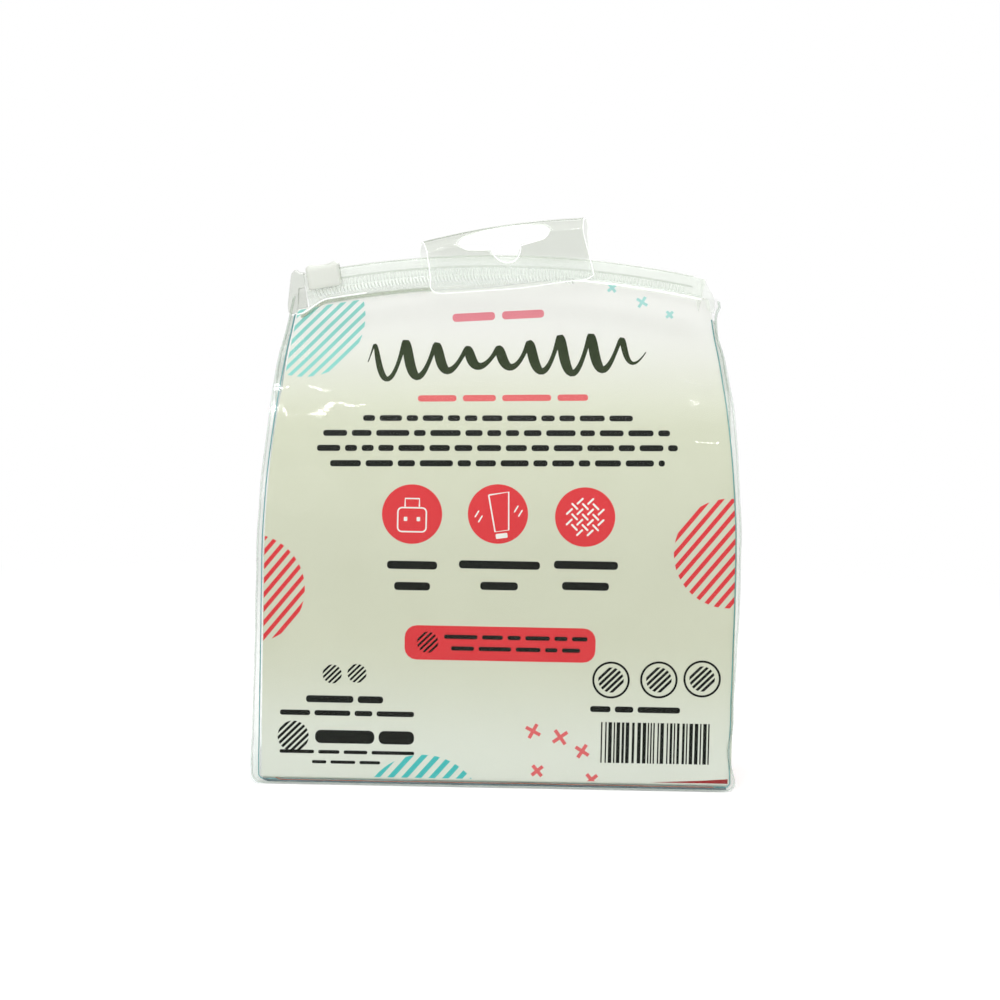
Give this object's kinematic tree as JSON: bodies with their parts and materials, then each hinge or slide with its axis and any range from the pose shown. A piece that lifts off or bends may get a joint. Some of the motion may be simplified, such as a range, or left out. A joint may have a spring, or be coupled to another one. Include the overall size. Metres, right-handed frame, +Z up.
{
  "type": "travel bottle set in a zip pouch",
  "caption": "Clear slider-zip pouch with a hang tab and a printed card, holding soft squeeze bottles with screw caps, self-closing valves and flip lids.",
  "frame": {"origin": "centre of the bounding box's bottom, on the ground between the two seams the pouch stands on", "axes": "+X to the right as the card is read, +Y from the card side to the bottle side, +Z up"},
  "size_m": [0.1362, 0.044, 0.1595],
  "materials": {
    "film_clear": "clear gloss film",
    "tab_clear": "clear gloss film",
    "zip_clear": "clear extrusion",
    "slider_white": "satin",
    "card": "matt print",
    "silicone_teal": "soft matt",
    "silicone_white": "soft matt",
    "silicone_coral": "soft matt",
    "cap_white": "satin",
    "seal_grey": "soft matt",
    "valve_clear": "soft matt"
  },
  "bodies": {
    "pouch": {"back_panel": "film_clear", "front_panel": "film_clear", "gusset_strip": "film_clear", "hang_tab": "tab_clear", "back_zip_track": "zip_clear", "front_zip_track": "zip_clear", "left_end_stop": "zip_clear", "right_end_stop": "zip_clear", "insert_card": "card"},
    "slider": {"zip_slider": "slider_white"},
    "left_bottle": {"left_bottle": "silicone_teal"},
    "left_seal": {"left_neck_seal": "seal_grey"},
    "left_cap": {"left_cap_base": "cap_white", "left_slit_valve": "valve_clear", "left_valve_retainer": "cap_white"},
    "left_lid": {"left_flip_lid": "cap_white"},
    "middle_bottle": {"middle_bottle": "silicone_white"},
    "middle_seal": {"middle_neck_seal": "seal_grey"},
    "middle_cap": {"middle_cap_base": "cap_white", "middle_slit_valve": "valve_clear", "middle_valve_retainer": "cap_white"},
    "middle_lid": {"middle_flip_lid": "cap_white"},
    "right_bottle": {"right_bottle": "silicone_coral"},
    "right_seal": {"right_neck_seal": "seal_grey"},
    "right_cap": {"right_cap_base": "cap_white", "right_slit_valve": "valve_clear", "right_valve_retainer": "cap_white"},
    "right_lid": {"right_flip_lid": "cap_white"}
  },
  "joints": [
    {"name": "slider_run", "type": "hinge", "parent": "pouch", "child": "slider", "pos_m": [0.002, 0, -0.1307], "axis": [0, 1, 0], "range_deg": [0, 21.2]},
    {"name": "left_bottle_lift", "type": "slide", "parent": "pouch", "child": "left_bottle", "axis": [0, 0, -1], "range_m": [-0.015, 0]},
    {"name": "left_cap_rise", "type": "slide", "parent": "left_bottle", "child": "left_seal", "axis": [0, 0, 1], "range_m": [0, 0.004]},
    {"name": "left_cap_turn", "type": "hinge", "parent": "left_seal", "child": "left_cap", "pos_m": [-0.043, 0.0004, 0.07], "axis": [0, 0, 1], "range_deg": [0, 360]},
    {"name": "left_lid_flip", "type": "hinge", "parent": "left_cap", "child": "left_lid", "pos_m": [-0.032, 0.0004, 0.0814], "axis": [0, 1, 0], "range_deg": [0, 100]},
    {"name": "middle_bottle_lift", "type": "slide", "parent": "pouch", "child": "middle_bottle", "axis": [0, 0, -1], "range_m": [-0.015, 0]},
    {"name": "middle_cap_rise", "type": "slide", "parent": "middle_bottle", "child": "middle_seal", "axis": [0, 0, 1], "range_m": [0, 0.004]},
    {"name": "middle_cap_turn", "type": "hinge", "parent": "middle_seal", "child": "middle_cap", "pos_m": [0, 0.0004, 0.07], "axis": [0, 0, 1], "range_deg": [0, 360]},
    {"name": "middle_lid_flip", "type": "hinge", "parent": "middle_cap", "child": "middle_lid", "pos_m": [0.011, 0.0004, 0.0814], "axis": [0, 1, 0], "range_deg": [0, 100]},
    {"name": "right_bottle_lift", "type": "slide", "parent": "pouch", "child": "right_bottle", "axis": [0, 0, -1], "range_m": [-0.015, 0]},
    {"name": "right_cap_rise", "type": "slide", "parent": "right_bottle", "child": "right_seal", "axis": [0, 0, 1], "range_m": [0, 0.004]},
    {"name": "right_cap_turn", "type": "hinge", "parent": "right_seal", "child": "right_cap", "pos_m": [0.043, 0.0004, 0.07], "axis": [0, 0, 1], "range_deg": [0, 360]},
    {"name": "right_lid_flip", "type": "hinge", "parent": "right_cap", "child": "right_lid", "pos_m": [0.032, 0.0004, 0.0814], "axis": [0, -1, 0], "range_deg": [0, 100]}
  ],
  "couplings": [
    {"joint": "left_cap_rise", "follows": "left_cap_turn", "m_per_rad": 0.0006366},
    {"joint": "middle_cap_rise", "follows": "middle_cap_turn", "m_per_rad": 0.0006366},
    {"joint": "right_cap_rise", "follows": "right_cap_turn", "m_per_rad": 0.0006366}
  ]
}
